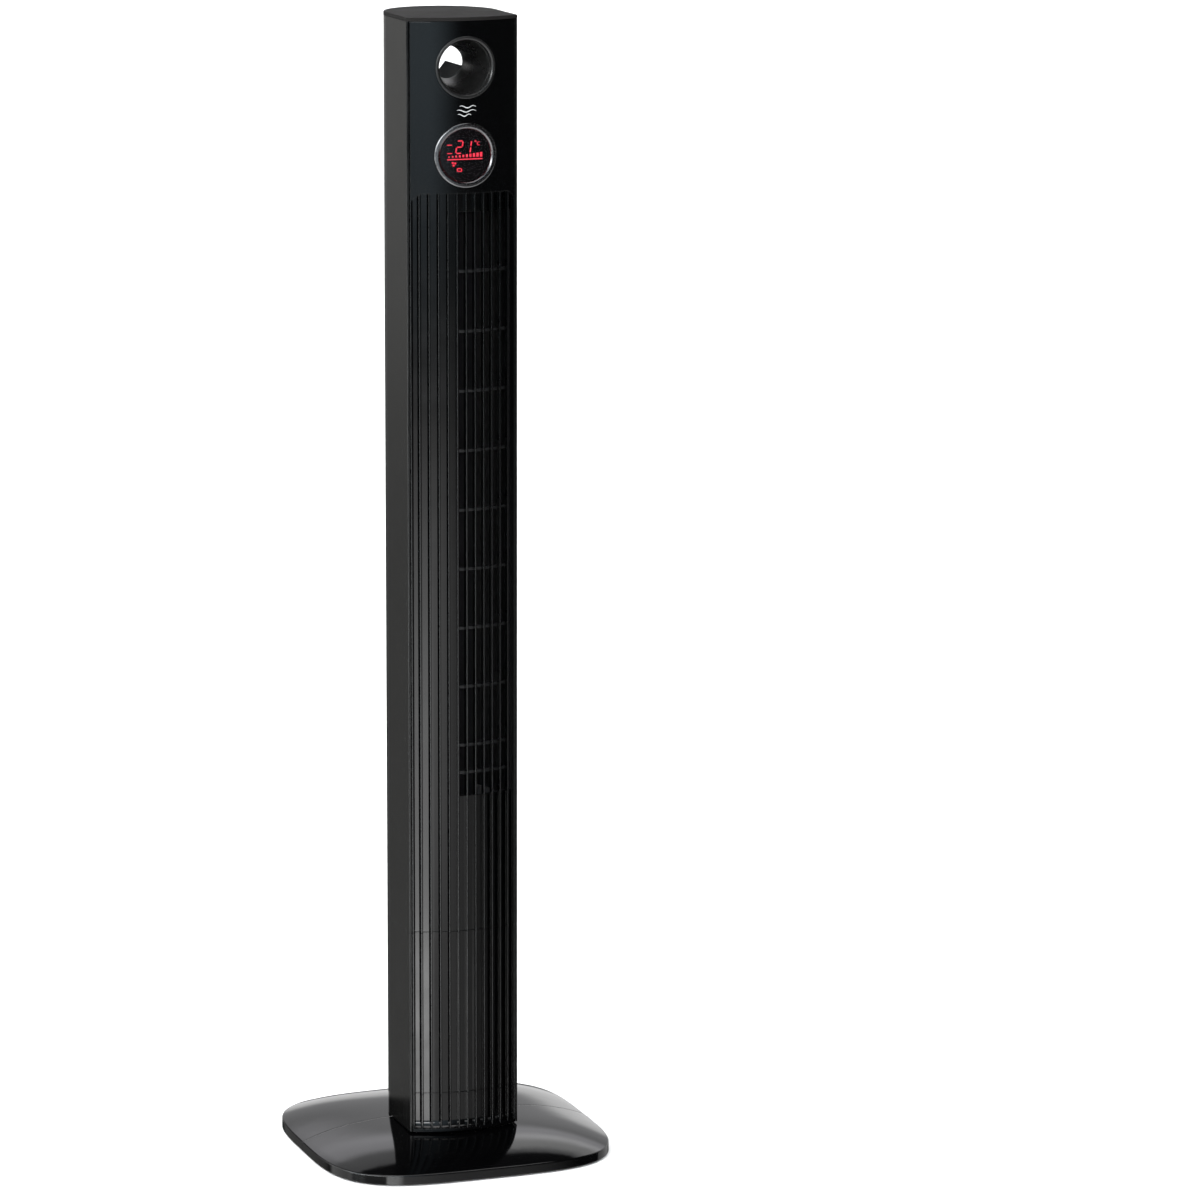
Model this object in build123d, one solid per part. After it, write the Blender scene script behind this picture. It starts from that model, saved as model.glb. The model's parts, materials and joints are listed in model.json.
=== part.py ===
from build123d import *
import math
import os

# ------------------------------------------------------------------ driving dimensions, mm
# The tower turns about the Z axis. The front faces -Y and the floor is Z = 0.
HEIGHT = 1180.0
BASE_HALF = 155.5          # half the side of the rounded-square base
BASE_POWER = 3.75          # superellipse power of the base outline
RIM_BOTTOM = 1.0           # the skirt of the base stops just above the floor
RIM_TOP = 11.0             # top of the vertical edge of the base
RIM_ROUND = 1.2
DOME_RISE = 19.0           # rise of the domed top above that edge
DOME_POWER = 3.4
BASE_WALL = 2.6
SEAM = 0.5                 # gap between two casing pieces
BASE_SEAM = 0.9            # gap between the two base halves

HALF_WIDTH = 58.5          # half the tower width, and the radius of its round back
SIDE_FRONT = -65.0         # where the flat sides end
FRONT_APEX = -79.0         # foremost point of the shallow front arc
WALL = 2.2
TOWER_BOTTOM = 30.8
SKIRT_TOP = 71.0
COLUMN_SPLIT = 242.5       # seam between the lower and the upper column
GRILLE_TOP = 1004.0
CAP_BOTTOM = 1176.5

PANEL_HALF = 55.6          # half width of the front panels
PANEL_WALL = 2.2
PANEL_BACK = -50.0         # how far back the side flanges of the front panels reach
FIN_PITCH = 9.35
FIN_WIDTH = 1.8
FIN_DEPTH = 5.5
FIN_ROUND = 0.6            # rounding of the fin tips
WINDOW_X = (-8.0, 52.0)    # air outlet
WINDOW_Z = (384.5, 985.0)
BAR_PITCH = 60.93          # horizontal bars behind the fins
BAR_TOP = 924.5
BAR_COUNT = 9
LOWEST_BAR = 408.4
INTAKE_HALF = 48.0         # opening in the back for the intake grille
INTAKE_Z = (380.0, 985.0)
INTAKE_SLOTS = 60

HANDLE_Z = 1130.0
HANDLE_RING = 31.2
HANDLE_MOUTH = 27.3
HANDLE_THROAT = 16.5
THROAT_Y = -20.0
DISPLAY_Z = 1042.0
DISPLAY_RING = 32.6
LENS_RADIUS = 26.6
RING_PROUD = 0.8
HAND_Z = (1104.0, 1152.0)  # bottom and top of the hand opening in the back
HAND_HALF = 40.0
HAND_NOTCH = (8.0, 22.0)   # half width of the notch below it, at its bottom and top
HAND_SHOULDERS = (1118.5, 1124.0)  # height of the shoulders at the sides and at the notch

IMPELLER_AT = (-6.0, -4.0)
IMPELLER_RADIUS = 39.0
IMPELLER_Z = (381.0, 987.0)
IMPELLER_DISCS = 11
BLADE_COUNT = 30
SHAFT_RADIUS = 4.0
DUCT_Z = (372.0, 996.0)    # outer faces of the duct end plates
PLATE = 3.0
MOTOR_RADIUS = 37.0
MOTOR_Z = (300.0, 362.0)

LOOM_AT = (-47.0, -30.0)   # where the wiring runs up the column

PIVOT_RADIUS = 13.95       # tube the tower turns on
PIVOT_BORE = 14.0
GEAR_MODULE = 1.5
RING_TEETH = 40
PINION_TEETH = 12
GEAR_Z = (45.0, 53.0)
GEAR_BACKLASH = 0.35
GEAR_CENTRES = GEAR_MODULE * (RING_TEETH + PINION_TEETH) / 2 + 0.1

FOOT_PLACES = [(x, y) for x in (-112, 112) for y in (-112, 112)]
SWIVEL_TOP = 17.0          # top of the turntable's flange
SWIVEL_SCREW_CIRCLE = 58.0
SWIVEL_SCREW_ANGLES = [math.radians(a) for a in range(30, 360, 60)]
LOWER_SCREWS = [(60, 30), (226, 26)]       # height and half spacing of each pair of rear screws
UPPER_SCREWS = [(259, 26), (345, 34)]
COVER_SCREWS = [(1022, 34), (1076, 34)]
BOSS_DEPTH = 12.0          # depth of a rear screw boss below the outer skin
BOSS_FLOOR = 2.2
COVER_EDGE = 22.0          # Y of the seams beside the cover on the back of the head
SEGMENT_Y = (-70.4, -69.8)                 # front and back of the lit strokes

CORD_BORE = 3.3
CORD_Z = 6.1
GROMMET_RADIUS = 4.6

FRONT_RADIUS = (HALF_WIDTH**2 + (SIDE_FRONT - FRONT_APEX) ** 2) / (2 * (SIDE_FRONT - FRONT_APEX))
FRONT_CENTRE = FRONT_APEX + FRONT_RADIUS


# ------------------------------------------------------------------ shared shapes
def slab(plan, low, high):
    """A plan outline raised from one height to another."""
    return Pos(0, 0, low) * extrude(plan, high - low)


def block(x, y, z):
    """A box from its three (low, high) ranges."""
    middle = [(a + b) / 2 for a, b in (x, y, z)]
    return Pos(*middle) * Box(x[1] - x[0], y[1] - y[0], z[1] - z[0])


def rod(radius, low, high, at=(0, 0)):
    """An upright cylinder."""
    return slab(Pos(*at) * Circle(radius), low, high)


def tube(outer, inner, low, high, at=(0, 0)):
    """An upright tube."""
    return slab(Pos(*at) * (Circle(outer) - Circle(inner)), low, high)


def y_rod(radius, front, back, at):
    """A cylinder along Y, at the X and Z given."""
    return Pos(at[0], (front + back) / 2, at[1]) * Rot(90, 0, 0) * Cylinder(radius, back - front)


def front_y(x, inset=0.0):
    """Y of the front arc at a given X, moved inwards by inset."""
    return FRONT_CENTRE - math.sqrt((FRONT_RADIUS - inset) ** 2 - x**2)


def section(inset=0.0):
    """Outline of the tower: round back, flat sides and a shallow front arc."""
    half = HALF_WIDTH - inset
    edge = front_y(half, inset)
    front = ThreePointArc((-half, edge), (0, FRONT_APEX + inset), (half, edge))
    back = ThreePointArc((half, 0), (0, half), (-half, 0))
    sides = [Line((half, edge), (half, 0)), Line((-half, 0), (-half, edge))]
    return make_face([front, sides[0], back, sides[1]])


def front_block(half, inset, back):
    """Plan area between the front arc and a straight line at Y = back."""
    edge = front_y(half, inset)
    front = ThreePointArc((-half, edge), (0, FRONT_APEX + inset), (half, edge))
    rest = Polyline((half, edge), (half, back), (-half, back), (-half, edge))
    return make_face([front, *rest.edges()])


def plan_box(x, y):
    """Plan rectangle from its (low, high) ranges."""
    return Pos((x[0] + x[1]) / 2, (y[0] + y[1]) / 2) * Rectangle(x[1] - x[0], y[1] - y[0])


def groove_ranges():
    """X range of each groove between two fins."""
    edge = PANEL_HALF - FIN_WIDTH + 0.2
    centres = [i * FIN_PITCH for i in range(-5, 6)]
    lows = [-edge] + [c + FIN_WIDTH / 2 for c in centres]
    highs = [c - FIN_WIDTH / 2 for c in centres] + [edge]
    return list(zip(lows, highs))


def on_front_arc(plan):
    """Corners of a plan outline that lie on the front arc."""
    return [v for v in plan.vertices() if abs(v.Y - front_y(v.X)) < 0.05]


def finned_plan(window):
    """Plan of a finned front panel: fins, the floor between them and two side flanges."""
    plan = front_block(PANEL_HALF, 0, PANEL_BACK)
    plan -= front_block(PANEL_HALF - PANEL_WALL, FIN_DEPTH + PANEL_WALL, PANEL_BACK + 1)
    floor = front_block(HALF_WIDTH, FIN_DEPTH, PANEL_BACK + 2)
    for low, high in groove_ranges():
        plan -= plan_box((low, high), (FRONT_APEX - 5, PANEL_BACK)) - floor
        if window:
            left, right = max(low, WINDOW_X[0]), min(high, WINDOW_X[1])
            if right > left:
                plan -= plan_box((left, right), (FRONT_APEX - 5, PANEL_BACK))
    return fillet(on_front_arc(plan), FIN_ROUND)


def screw(length, head=3.4, shank=1.6):
    """Pan-head screw pointing along -Z with its head on top of Z = 0 and a cross recess."""
    body = Pos(0, 0, 1.0) * Cylinder(head, 2.0) + Pos(0, 0, -length / 2) * Cylinder(shank, length)
    body = fillet(body.edges().filter_by(GeomType.CIRCLE).sort_by(Axis.Z)[-1:], 1.0)
    for angle in (0, 90):
        body -= Pos(0, 0, 1.7) * Rot(0, 0, angle) * Box(0.9, 3.8, 1.4)
    return body


def involute_gear(teeth, thickness, backlash):
    """Spur gear with involute flanks, one tooth centred on +X."""
    pitch = GEAR_MODULE * teeth / 2
    base = pitch * math.cos(math.radians(20))
    tip, root = pitch + GEAR_MODULE * 0.95, pitch - GEAR_MODULE * 1.25
    start = max(base, root + 0.15)

    def flank(radius):
        roll = math.sqrt(max((radius / base) ** 2 - 1, 0))
        return roll - math.atan(roll)

    half = math.pi / (2 * teeth) - backlash / (2 * pitch) + flank(pitch)
    radii = [start + (tip - start) * k / 4 for k in range(5)]
    outline = []
    for tooth in range(teeth):
        middle = 2 * math.pi * tooth / teeth
        rising = [(r, middle - half + flank(r)) for r in radii]
        falling = [(r, middle + half - flank(r)) for r in reversed(radii)]
        flanks = [(root, rising[0][1])] + rising + falling + [(root, falling[-1][1])]
        outline += [(r * math.cos(a), r * math.sin(a)) for r, a in flanks]
    return extrude(make_face(Polyline(*outline, close=True)), thickness)


# ------------------------------------------------------------------ base
def swivel_screw_places():
    """Plan position of each turntable screw."""
    circle = SWIVEL_SCREW_CIRCLE
    return [(circle * math.cos(angle), circle * math.sin(angle)) for angle in SWIVEL_SCREW_ANGLES]


def base_outline(half):
    """Rounded-square outline as a closed superellipse."""
    points = []
    for k in range(64):
        c, s = math.cos(math.pi * k / 32), math.sin(math.pi * k / 32)
        x = math.copysign(abs(c) ** (2 / BASE_POWER), c)
        y = math.copysign(abs(s) ** (2 / BASE_POWER), s)
        points.append((half * x, half * y))
    return make_face(Spline(*points, periodic=True))


def dome_height(x, y):
    """Height of the outer skin of the base."""
    norm = (abs(x / BASE_HALF) ** BASE_POWER + abs(y / BASE_HALF) ** BASE_POWER) ** (1 / BASE_POWER)
    return RIM_TOP + DOME_RISE * (1 - norm**DOME_POWER)


def above_dome(drop):
    """Everything above the domed skin, lowered by drop."""
    steps = 24
    reach = BASE_HALF + 3
    grid = [-reach + 2 * reach * k / steps for k in range(steps + 1)]
    points = [[Vector(x, y, dome_height(x, y) - drop) for y in grid] for x in grid]
    skin = Face.make_surface_from_array_of_points(points)
    return Solid.extrude(skin, Vector(0, 0, 80))


def base_halves():
    """Front and rear halves of the base: domed shells with ribs and bosses underneath."""
    outer = slab(base_outline(BASE_HALF), RIM_BOTTOM, 60) - above_dome(0)
    upper_rim = outer.edges().filter_by(GeomType.BSPLINE).sort_by(Axis.Z)[-1:]
    outer = fillet(upper_rim, RIM_ROUND)
    lower_rim = outer.edges().filter_by(GeomType.BSPLINE).sort_by(Axis.Z)[:1]
    outer = fillet(lower_rim, 0.6)
    inner = slab(base_outline(BASE_HALF - BASE_WALL), 0, 60) - above_dome(BASE_WALL)
    shell = outer - inner
    under = inner & slab(base_outline(BASE_HALF - BASE_WALL), RIM_BOTTOM + 2, 60)
    ribs = tube(99, 97.4, 0, 40) + tube(72.6, 70.6, 0, 40)
    for angle in range(15, 360, 30):
        ribs += Rot(0, 0, angle) * block((72, 160), (-0.8, 0.8), (0, 40))
    for x, y in FOOT_PLACES:
        ribs += rod(11, 0, 40, (x, y))
    ribs &= under
    for at in swivel_screw_places():
        ribs += rod(5, SWIVEL_TOP, 40, at) & inner
    shell += ribs
    shell -= rod(46, 0, 60)
    shell -= rod(70.6, 0, SWIVEL_TOP)
    for at in swivel_screw_places():
        shell -= rod(1.65, 0, SWIVEL_TOP + 7.5, at)
    for x, y in FOOT_PLACES:
        shell -= rod(8.1, 0, 4.0, (x, y))
    shell -= y_rod(GROMMET_RADIUS + 0.05, BASE_HALF - 30, BASE_HALF + 5, (0, CORD_Z))
    far = BASE_HALF + 10
    front = shell & block((-far, far), (-far, -BASE_SEAM / 2), (0, 60))
    rear = shell & block((-far, far), (BASE_SEAM / 2, far), (0, 60))
    return front, rear


def base_feet():
    """Four rubber pads that carry the fan."""
    pad = rod(8, 0, 4.0)
    pad = fillet(pad.edges().sort_by(Axis.Z)[:1], 0.8)
    return [Pos(x, y, 0) * pad for x, y in FOOT_PLACES]


def cord_grommet():
    """Rubber bush in the rear edge of the base."""
    ring = y_rod(GROMMET_RADIUS, BASE_HALF - 14, BASE_HALF - 0.1, (0, CORD_Z))
    flange = y_rod(GROMMET_RADIUS, BASE_HALF - 14, BASE_HALF - 6, (0, CORD_Z))
    return ring + flange - y_rod(CORD_BORE, BASE_HALF - 20, BASE_HALF + 5, (0, CORD_Z))


# ------------------------------------------------------------------ swivel
def swivel_plate():
    """Fixed turntable: a screwed-down disc with a raised drum under the tower."""
    plate = rod(69, SWIVEL_TOP - 3, SWIVEL_TOP)
    plate += rod(45, SWIVEL_TOP - 3, 29.8)
    plate -= rod(42, 0, 26.8)
    plate -= rod(PIVOT_BORE, 0, 60)
    for angle in range(0, 360, 60):
        plate += Rot(0, 0, angle) * block((24.2, 43), (-1, 1), (20, 27))
    for at in swivel_screw_places():
        plate -= rod(2.2, 0, 40, at)
    return plate


def swivel_screws():
    """Six screws that hold the turntable under the base halves."""
    pointed_up = Rot(180, 0, 0) * screw(9)
    return [Pos(*at, SWIVEL_TOP - 3) * pointed_up for at in swivel_screw_places()]


def pivot_tube():
    """Hollow post the tower turns on; the wiring passes through it."""
    post = rod(24, 23.8, 26.8) + rod(PIVOT_RADIUS, 23.8, 62)
    post = chamfer(post.edges().sort_by(Axis.Z)[-1:], 0.8)
    return post - rod(10, 0, 80)


def ring_gear():
    """Fixed gear on the pivot tube that the oscillation pinion walks round."""
    gear = involute_gear(RING_TEETH, GEAR_Z[1] - GEAR_Z[0], GEAR_BACKLASH)
    gear = Rot(0, 0, -90) * gear
    gear = Pos(0, 0, GEAR_Z[0]) * gear
    for angle in range(30, 360, 60):
        at = (21 * math.cos(math.radians(angle)), 21 * math.sin(math.radians(angle)))
        gear -= rod(4, 0, 100, at)
    return gear - rod(PIVOT_BORE, 0, 100)


def pinion():
    """Oscillation pinion in mesh with the ring gear, with its drive shaft."""
    turn = 90 + 180 / PINION_TEETH
    gear = Rot(0, 0, turn) * involute_gear(PINION_TEETH, GEAR_Z[1] - GEAR_Z[0], GEAR_BACKLASH)
    gear = Pos(0, -GEAR_CENTRES, GEAR_Z[0]) * gear
    return gear + rod(5, GEAR_Z[1], 56, (0, -GEAR_CENTRES)) + rod(2.5, 55, 66, (0, -GEAR_CENTRES))


def oscillation_motor():
    """Stepping motor with two mounting ears above its bracket."""
    at = (0, -GEAR_CENTRES)
    body = rod(17.5, 61, 76, at) + block((-24.5, 24.5), (at[1] - 3.5, at[1] + 3.5), (59.5, 61))
    body += rod(17.4, 59.5, 61, at)
    body += block((-9, 9), (at[1] - 23, at[1] - 16), (63, 75))
    for x in (-21, 21):
        body -= rod(1.7, 50, 70, (x, at[1]))
    return body - rod(2.55, 50, 68, at)


def oscillation_bracket():
    """Bridge that carries the oscillation motor on two posts."""
    y = -GEAR_CENTRES
    bridge = slab(plan_box((-27, 27), (y - 8, y + 8)), 57.5, 59.5) - rod(6, 50, 70, (0, y))
    for x in (-21, 21):
        bridge += rod(4, 33.8, 57.6, (x, y))
        bridge -= rod(1.3, 50, 70, (x, y))
    return bridge


def oscillation_screws():
    """Two screws through the motor's ears."""
    return [Pos(x, -GEAR_CENTRES, 61) * screw(6, head=2.9, shank=1.25) for x in (-21, 21)]


# ------------------------------------------------------------------ lower column
def column_foot():
    """Floor of the tower with the bearing hub that turns on the pivot tube."""
    plan = section(8.2) + (section(WALL + 0.3) & plan_box((-60, 60), (PANEL_BACK + 0.5, 60)))
    foot = slab(plan, TOWER_BOTTOM, TOWER_BOTTOM + 3) + rod(20, TOWER_BOTTOM, 41)
    for angle in range(45, 360, 90):
        foot += Rot(0, 0, angle) * block((18, 38), (-1, 1), (TOWER_BOTTOM, 38))
    return foot - rod(PIVOT_BORE, 0, 60)


def groove_run_out(bottom):
    """Ring-shaped cutter whose lower edge curves from the groove floor out to the front."""
    floor, sweep = FRONT_RADIUS - FIN_DEPTH, 8.0
    turn = bottom + sweep
    bend = (floor + sweep * (1 - math.sqrt(0.5)), turn - sweep * math.sqrt(0.5))
    arc = ThreePointArc((floor, turn), bend, (floor + sweep, bottom))
    rest = Polyline((floor + sweep, bottom), (floor + sweep, turn + 9), (floor, turn + 9), (floor, turn))
    upright = Plane((0, FRONT_CENTRE, 0), x_dir=(1, 0, 0), z_dir=(0, -1, 0))
    return revolve(upright * make_face([arc, *rest.edges()]), Axis((0, FRONT_CENTRE, 0), (0, 0, 1)))


def front_skirt():
    """Lowest front panel, where the grooves run out."""
    band = front_block(PANEL_HALF, 0, PANEL_BACK)
    band -= front_block(PANEL_HALF - PANEL_WALL, FIN_DEPTH + PANEL_WALL, PANEL_BACK + 1)
    end = slab(band, TOWER_BOTTOM, TOWER_BOTTOM + 11) - groove_run_out(TOWER_BOTTOM + 2.6)
    return slab(finned_plan(False), TOWER_BOTTOM, SKIRT_TOP - SEAM / 2) + end


def side_shell(low, high):
    """U-shaped casing: both flat sides and the round back."""
    plan = section() - section(WALL)
    inner = HALF_WIDTH - WALL
    plan -= plan_box((-inner, inner), (FRONT_APEX - 5, 0))
    plan = fillet([v for v in on_front_arc(plan) if abs(v.X) > inner + 1], 0.9)
    plan = fillet([v for v in on_front_arc(plan) if abs(v.X) < inner + 1], 0.4)
    return slab(plan, low, high)


def rear_places(rows):
    """X and Z of pairs of rear screws."""
    return [(x, z) for z, spread in rows for x in (-spread, spread)]


def boss_end(x):
    """Y of the inner end of a rear screw boss at a given X."""
    return math.sqrt(HALF_WIDTH**2 - x**2) - BOSS_DEPTH


def add_rear_bosses(shell, places):
    """Recessed bosses in the round back, each with a floor for a screw head."""
    for x, z in places:
        end = boss_end(x)
        shell += y_rod(6, end, end + 22, (x, z)) & slab(section(), z - 10, z + 10)
        shell -= y_rod(4.2, end + BOSS_FLOOR, end + 32, (x, z))
        shell -= y_rod(1.8, end - 5, end + 22, (x, z))
    return shell


def rear_screws(places):
    """Screws that sit on the floors of the rear bosses."""
    return [Pos(x, boss_end(x) + BOSS_FLOOR, z) * Rot(-90, 0, 0) * screw(10) for x, z in places]


def joining_sleeve():
    """Inner sleeve that plugs the upper column onto the lower one."""
    behind = plan_box((-60, 60), (PANEL_BACK + 3, 60))
    low, high = COLUMN_SPLIT - 28.5, COLUMN_SPLIT + 28.5
    places = rear_places([LOWER_SCREWS[-1], UPPER_SCREWS[0]])
    sleeve = slab((section(WALL + 0.3) - section(WALL + 2.9)) & behind, low, high)
    bridge = block((-50, 50), (25, 27.4), (low, high)) & slab(section(WALL + 1), low, high)
    for x, z in places:
        end = boss_end(x) - 0.3
        sleeve -= y_rod(6.3, 30, 70, (x, z))
        sleeve += y_rod(5, end - 13.5, end, (x, z)) - y_rod(1.7, end - 11, end + 5, (x, z))
        bridge -= y_rod(1.7, 0, 70, (x, z))
    return sleeve + bridge


def power_board():
    """Mains board on its edge in the lower column."""
    board = block((-38, 38), (-32, -30.4), (96, 186))
    for x in (-33, 33):
        for z in (101, 181):
            board -= y_rod(1.7, -40, -20, (x, z))
    return board


def board_parts():
    """Relay, transformer, connector and heat sink on the mains board."""
    return [
        block((-34, -14), (-30.4, -15), (150, 176)),
        block((-8, 20), (-30.4, -10), (142, 172)),
        block((-30, 26), (-30.4, -22), (104, 112)),
        block((10, 30), (-30.4, -18), (118, 134)),
    ]


def run_capacitor():
    """Box capacitor for the blower motor with two spade tags."""
    case = fillet(block((-24, 24), (-6, 14), (196, 228)).edges(), 1.5)
    tags = block((-12, -11.2), (0, 6), (228, 236)) + block((11.2, 12), (0, 6), (228, 236))
    return case + tags


# ------------------------------------------------------------------ upper column
def intake_window():
    """Opening in the round back for the intake grille."""
    return block((-INTAKE_HALF, INTAKE_HALF), (10, 70), INTAKE_Z)


def behind_head(edge):
    """Space behind Y = edge at the height of the head."""
    return block((-HALF_WIDTH, HALF_WIDTH), (edge, 70), (GRILLE_TOP, HEIGHT))


def cover_ear(x, z):
    """Ear on the side wall that a screw of the head cover bites into."""
    side = math.copysign(1, x)
    reach = plan_box(sorted((28 * side, 57 * side)), (12, boss_end(x) - 0.3)) & section(WALL + 0.4)
    root = plan_box(sorted((50 * side, 57 * side)), (12, COVER_EDGE - 1)) & section(WALL - 0.5)
    return slab(reach + root, z - 4, z + 4) - y_rod(1.7, boss_end(x) - 9, 50, (x, z))


def upper_shell():
    """Upper casing: both sides up to the lid, and the back up to the head cover."""
    shell = side_shell(COLUMN_SPLIT + SEAM / 2, CAP_BOTTOM - 0.2) - intake_window()
    shell -= behind_head(COVER_EDGE - SEAM / 2)
    for x, z in rear_places(COVER_SCREWS):
        shell += cover_ear(x, z)
    return add_rear_bosses(shell, rear_places(UPPER_SCREWS))


def hand_opening():
    """Rounded cutter for the hand opening in the back, with a notch in its lower edge."""
    low, high = HAND_Z
    right = [
        (HAND_NOTCH[0], low),
        (HAND_NOTCH[1], HAND_SHOULDERS[1]),
        (HAND_HALF, HAND_SHOULDERS[0]),
        (HAND_HALF, high),
    ]
    left = [(-x, z) for x, z in reversed(right)]
    outline = make_face(Polyline(*right, *left, close=True))
    outline = fillet(outline.vertices().group_by(Axis.Y)[-1], 8)
    outline = fillet(outline.vertices().group_by(Axis.Y)[0], 3)
    return Pos(0, 10, 0) * extrude(Plane.XZ * outline, -70)


def head_back_cover():
    """Screwed cover on the back of the head, with the rear hand opening."""
    cover = side_shell(GRILLE_TOP + SEAM, CAP_BOTTOM - 0.2) & behind_head(COVER_EDGE + SEAM / 2)
    return add_rear_bosses(cover - hand_opening(), rear_places(COVER_SCREWS))


def intake_grille():
    """Slatted guard that clips into the round back."""
    half, border, slot = INTAKE_HALF - 0.3, 4, 6.4
    low, high = INTAKE_Z[0] + 0.3, INTAKE_Z[1] - 0.3
    pitch = (high - low - 2 * border) / INTAKE_SLOTS
    grille = slab((section() - section(WALL)) & plan_box((-half, half), (20, 60)), low, high)
    middles = [low + border + pitch * (k + 0.5) for k in range(INTAKE_SLOTS)]
    grille -= [block((-43.5, 43.5), (10, 70), (z - slot / 2, z + slot / 2)) for z in middles]
    backing = section(WALL) - section(WALL + 2.5)
    for x in (-22, 0, 22):
        grille += slab(backing & plan_box((x - 1.2, x + 1.2), (20, 60)), low, high)
    return grille


def corner_ear(side, gap, top):
    """Small triangle that chamfers a top corner of the finned recess."""
    edge, inner = side * (PANEL_HALF + gap), side * (46.5 - gap)
    slope = [(edge, 996.5 - gap), (inner, GRILLE_TOP), (inner, top), (edge, top)]
    wedge = Pos(0, PANEL_BACK, 0) * extrude(Plane.XZ * make_face(Polyline(*slope, close=True)), 40)
    return wedge & slab(front_block(HALF_WIDTH, 0, -58 + gap), 980, 1020)


def front_grille():
    """Finned front panel with the air outlet."""
    low, high = COLUMN_SPLIT + SEAM / 2, GRILLE_TOP - 0.1
    closed, opened = finned_plan(False), finned_plan(True)
    panel = slab(closed, low, WINDOW_Z[0]) + slab(opened, *WINDOW_Z) + slab(closed, WINDOW_Z[1], high)
    for side in (-1, 1):
        panel -= corner_ear(side, 0.2, GRILLE_TOP + 1)
    return panel


def outlet_guard():
    """Frame with horizontal bars behind the fins."""
    band = front_block(HALF_WIDTH, FIN_DEPTH + PANEL_WALL + 0.2, -40)
    band -= front_block(HALF_WIDTH - 1, FIN_DEPTH + PANEL_WALL + 4.2, -39)
    low, high = WINDOW_Z[0] - 6, WINDOW_Z[1] + 4
    frame = slab(band & plan_box((WINDOW_X[0] - 4, 53.2), (-90, -50)), low, high)
    opening = (WINDOW_X[0] + 0.5, WINDOW_X[1] - 1)
    bars = [BAR_TOP - BAR_PITCH * k for k in range(BAR_COUNT)] + [LOWEST_BAR]
    edges = [low + 4] + sorted(bars) + [high - 3]
    for below, above in zip(edges, edges[1:]):
        frame -= block(opening, (-90, -40), (below + 1.4, above - 1.4))
    return frame


def duct_plate(low):
    """End plate of the air duct."""
    plan = section(WALL + 0.6) & plan_box((-60, 60), (-57, 60))
    plan &= section(12.5) + plan_box((-60, 60), (PANEL_BACK + 1, 60))
    return slab(plan, low, low + PLATE) - rod(3.2, low - 1, low + 10, LOOM_AT)


def air_scroll():
    """Curved rear and right wall that gathers the air and leads it to the outlet."""
    sweep = ThreePointArc((23.6, 31.5), (45.5, 6), (50.3, -26))
    run = Line((50.3, -26), (51.4, -54))
    inner = ThreePointArc((22.4, 29.8), (43.4, 5.4), (48.3, -26))
    back = Line((48.3, -26), (49.4, -54))
    ends = [Line((51.4, -54), (49.4, -54)), Line((22.4, 29.8), (23.6, 31.5))]
    plan = make_face([sweep, run, ends[0], back, inner, ends[1]])
    return slab(plan, DUCT_Z[0] + PLATE, DUCT_Z[1] - PLATE)


def vortex_tongue():
    """Slanted wall left of the outlet with a rounded lip close to the impeller."""
    lip, root, radius = (17.5, -44.5), (-8.5, -64.5), 1.6
    length = math.dist(lip, root)
    angle = math.degrees(math.atan2(lip[1] - root[1], lip[0] - root[0]))
    wall = Pos(*root) * Rot(0, 0, angle) * (Pos(length / 2, 0) * Rectangle(length, 2.0))
    plan = wall + Pos(*lip) * Circle(radius)
    return slab(plan, DUCT_Z[0] + PLATE, DUCT_Z[1] - PLATE)


def impeller():
    """Cross-flow wheel: rings of curved blades between stacked discs."""
    low, high = IMPELLER_Z
    outer, inner = IMPELLER_RADIUS - 0.6, IMPELLER_RADIUS - 9.5
    start, end = (inner, 0.0), (outer * math.cos(0.16), outer * math.sin(0.16))
    middle = ((start[0] + end[0]) / 2 + 0.4, (start[1] + end[1]) / 2 - 1.6)
    over = ((start[0] + end[0]) / 2 - 0.1, (start[1] + end[1]) / 2 - 0.5)
    upper = ThreePointArc((start[0], start[1] + 0.3), over, (end[0] - 0.1, end[1] + 0.4))
    lower = ThreePointArc((start[0], start[1] - 0.3), middle, (end[0] + 0.1, end[1] - 0.4))
    caps = [Line(upper @ 0, lower @ 0), Line(upper @ 1, lower @ 1)]
    blade = make_face([upper, caps[1], lower, caps[0]])
    blades = [Rot(0, 0, 360 * k / BLADE_COUNT) * blade for k in range(BLADE_COUNT)]
    disc, ring = Circle(IMPELLER_RADIUS), Circle(IMPELLER_RADIUS) - Circle(inner - 1.5)
    thick, last = 2.0, IMPELLER_DISCS - 1
    pitch = (high - low - thick) / last
    pieces = []
    for k in range(IMPELLER_DISCS):
        z = low + pitch * k
        pieces.append(slab(disc if k in (0, last) else ring, z, z + thick))
        if k < last:
            pieces += [slab(face, z + thick, z + pitch) for face in blades]
    wheel = pieces[0].fuse(*pieces[1:]) + rod(11, low - 6, low + 14) + rod(8, high - 12, high)
    for bottom, top in ((low - 10, low + 12), (high - 10, high + 5)):
        wheel -= rod(SHAFT_RADIUS, bottom, top)
    return Pos(*IMPELLER_AT, 0) * wheel


def impeller_shaft():
    """Upper stub shaft of the impeller."""
    return rod(SHAFT_RADIUS, IMPELLER_Z[1] - 10, 1003, IMPELLER_AT)


def motor_shaft():
    """Motor shaft with its rotor; it carries the impeller."""
    low, high = MOTOR_Z
    rotor = rod(19, low + 14, high - 14, IMPELLER_AT)
    return rod(SHAFT_RADIUS, low - 4, IMPELLER_Z[0] + 12, IMPELLER_AT) + rotor


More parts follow.
